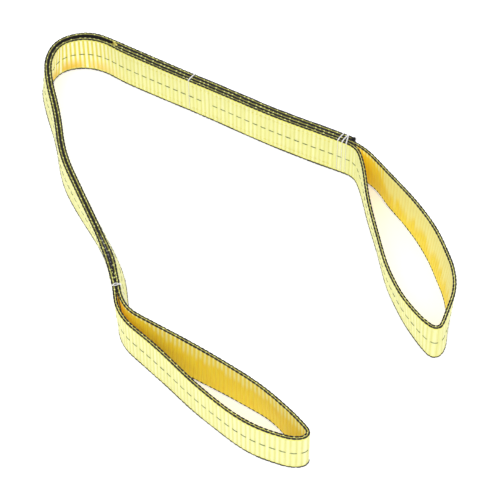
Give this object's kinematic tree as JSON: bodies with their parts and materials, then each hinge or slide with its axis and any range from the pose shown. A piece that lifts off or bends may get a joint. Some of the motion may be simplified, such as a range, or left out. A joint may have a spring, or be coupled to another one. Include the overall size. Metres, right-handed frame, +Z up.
{
  "type": "flat eye-and-eye web sling",
  "caption": "Two-ply flat webbing lifting sling with a loop eye at each end and a lapped, sewn splice, lying bent on its edge.",
  "frame": {"origin": "middle of the sling's outline in plan, at the floor that its webbing stands on", "axes": "+Z up, along the webbing's width; +X from the sling's left leg towards its right eye; +Y away from the eyes, towards the bend"},
  "size_m": [0.4552, 0.5741, 0.0521],
  "materials": {
    "webbing": "ribbed woven polyester, pale yellow, black edges",
    "cord": "white sewing cord",
    "thread": "yellow sewing thread",
    "tag": "smooth pale tag sheet"
  },
  "bodies": {
    "splice": {"splice_inner_ply": "webbing", "splice_middle_ply": "webbing", "splice_outer_ply": "webbing", "splice_start_tack": "cord", "right_throat_tacks": "cord", "id_tag": "tag", "tag_stitching": "cord", "splice_stitching": "thread"},
    "right_eye": {"right_eye_front_leg": "webbing", "right_eye_nose": "webbing", "right_eye_back_leg": "webbing"},
    "bend": {"bend_inner_ply": "webbing", "bend_outer_ply": "webbing"},
    "upper_leg": {"upper_leg_inner_ply": "webbing", "upper_leg_outer_ply": "webbing"},
    "lower_leg": {"lower_leg_inner_ply": "webbing", "lower_leg_outer_ply": "webbing", "left_throat_tacks": "cord"},
    "left_eye": {"left_eye_front_leg": "webbing", "left_eye_nose": "webbing", "left_eye_back_leg": "webbing"}
  },
  "joints": [
    {"name": "right_eye_swing", "type": "hinge", "parent": "splice", "child": "right_eye", "pos_m": [0.12544, 0.11238, 0.0254], "axis": [0, 0, 1], "range_deg": [-15, 60]},
    {"name": "splice_bend_flex", "type": "hinge", "parent": "splice", "child": "bend", "pos_m": [-0.15952, 0.27484, 0.0254], "axis": [0, 0, -1], "range_deg": [-3, 60]},
    {"name": "bend_leg_flex", "type": "hinge", "parent": "bend", "child": "upper_leg", "pos_m": [-0.21422, 0.18273, 0.0254], "axis": [0, 0, -1], "range_deg": [-3, 60]},
    {"name": "mid_leg_flex", "type": "hinge", "parent": "upper_leg", "child": "lower_leg", "pos_m": [-0.1725, 0.03285, 0.0254], "axis": [0, 0, -1], "range_deg": [-5, 60]},
    {"name": "left_eye_swing", "type": "hinge", "parent": "lower_leg", "child": "left_eye", "pos_m": [-0.12847, -0.09745, 0.0254], "axis": [0, 0, -1], "range_deg": [-5, 60]}
  ]
}
